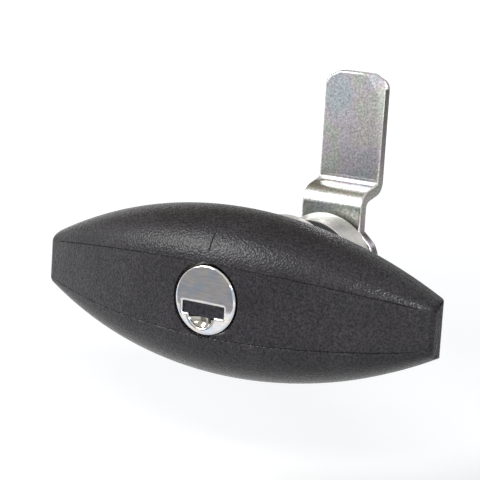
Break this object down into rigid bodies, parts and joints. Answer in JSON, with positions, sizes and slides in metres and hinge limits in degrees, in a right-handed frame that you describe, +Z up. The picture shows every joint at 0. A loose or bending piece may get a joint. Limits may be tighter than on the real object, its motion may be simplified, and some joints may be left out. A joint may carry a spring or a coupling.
{
  "type": "lockable wing handle latch",
  "caption": "Key-lockable black wing handle that turns a joggled quarter-turn cam behind a door panel, with a round mounting nut and a steel-capped key cylinder.",
  "frame": {"origin": "on the lock axis, in the plane of the panel's outer face, where the flange's rear face seats", "axes": "+Y along the lock axis into the panel, +X right along the level wing seen from the front, +Z up along the cam at rest"},
  "size_m": [0.1, 0.0613, 0.0649],
  "materials": {
    "black_polyamide": "fine-grained, glass-filled polyamide",
    "black_rubber": "matte",
    "acetal": "smooth, natural acetal",
    "cast_zinc": "bare die-cast zinc, matte",
    "zinc_plated_steel": "zinc plated and passivated, mottled",
    "stainless_steel": "satin stainless sheet",
    "brass": "turned brass",
    "nickel_plated_brass": "nickel-plated turned brass",
    "spring_steel": "drawn spring wire and strip",
    "blackened_steel": "black-coated sheet steel"
  },
  "bodies": {
    "housing": {"latch_housing": "cast_zinc", "flange_gasket": "black_rubber", "clamp_washer": "black_rubber", "mounting_nut": "cast_zinc"},
    "handle": {"wing_shell": "black_polyamide", "back_cover": "black_polyamide", "cover_screws": "zinc_plated_steel", "spindle": "cast_zinc", "thrust_ring": "acetal", "spindle_o_ring": "black_rubber", "stop_disc": "zinc_plated_steel", "cam": "zinc_plated_steel", "cam_washer": "zinc_plated_steel", "spring_washer": "spring_steel", "cam_screw": "zinc_plated_steel", "cylinder_shell": "cast_zinc", "shell_pin": "spring_steel"},
    "key_plug": {"plug": "nickel_plated_brass", "face_cap": "stainless_steel", "retaining_clip": "spring_steel", "shutter_pin": "stainless_steel", "shutter_spring": "spring_steel", "bolt_driver": "cast_zinc", "wafer_springs": "spring_steel", "wafer_1": "brass", "wafer_2": "brass", "wafer_3": "brass", "wafer_4": "brass", "wafer_5": "brass", "wafer_6": "brass"},
    "bolt": {"lock_bolt": "cast_zinc"},
    "shutter": {"dust_shutter": "blackened_steel"}
  },
  "joints": [
    {"name": "handle_turn", "type": "hinge", "parent": "housing", "child": "handle", "pos_m": [0, 0, 0], "axis": [0, 1, 0], "range_deg": [0, 90]},
    {"name": "key_turn", "type": "hinge", "parent": "handle", "child": "key_plug", "pos_m": [0, 0, 0], "axis": [0, 1, 0], "range_deg": [0, 90]},
    {"name": "bolt_slide", "type": "slide", "parent": "handle", "child": "bolt", "axis": [0, 0, 1], "range_m": [0, 0.00283]},
    {"name": "shutter_tilt", "type": "hinge", "parent": "key_plug", "child": "shutter", "pos_m": [0, -0.0319, 0.00045], "axis": [1, 0, 0], "range_deg": [0, 88], "stiffness_Nm_per_rad": 0.0001, "springref_deg": -28.65, "deforming": ["shutter_spring"]}
  ],
  "couplings": [
    {"joint": "bolt_slide", "follows": "key_turn", "m_per_rad": 0.0018006}
  ]
}
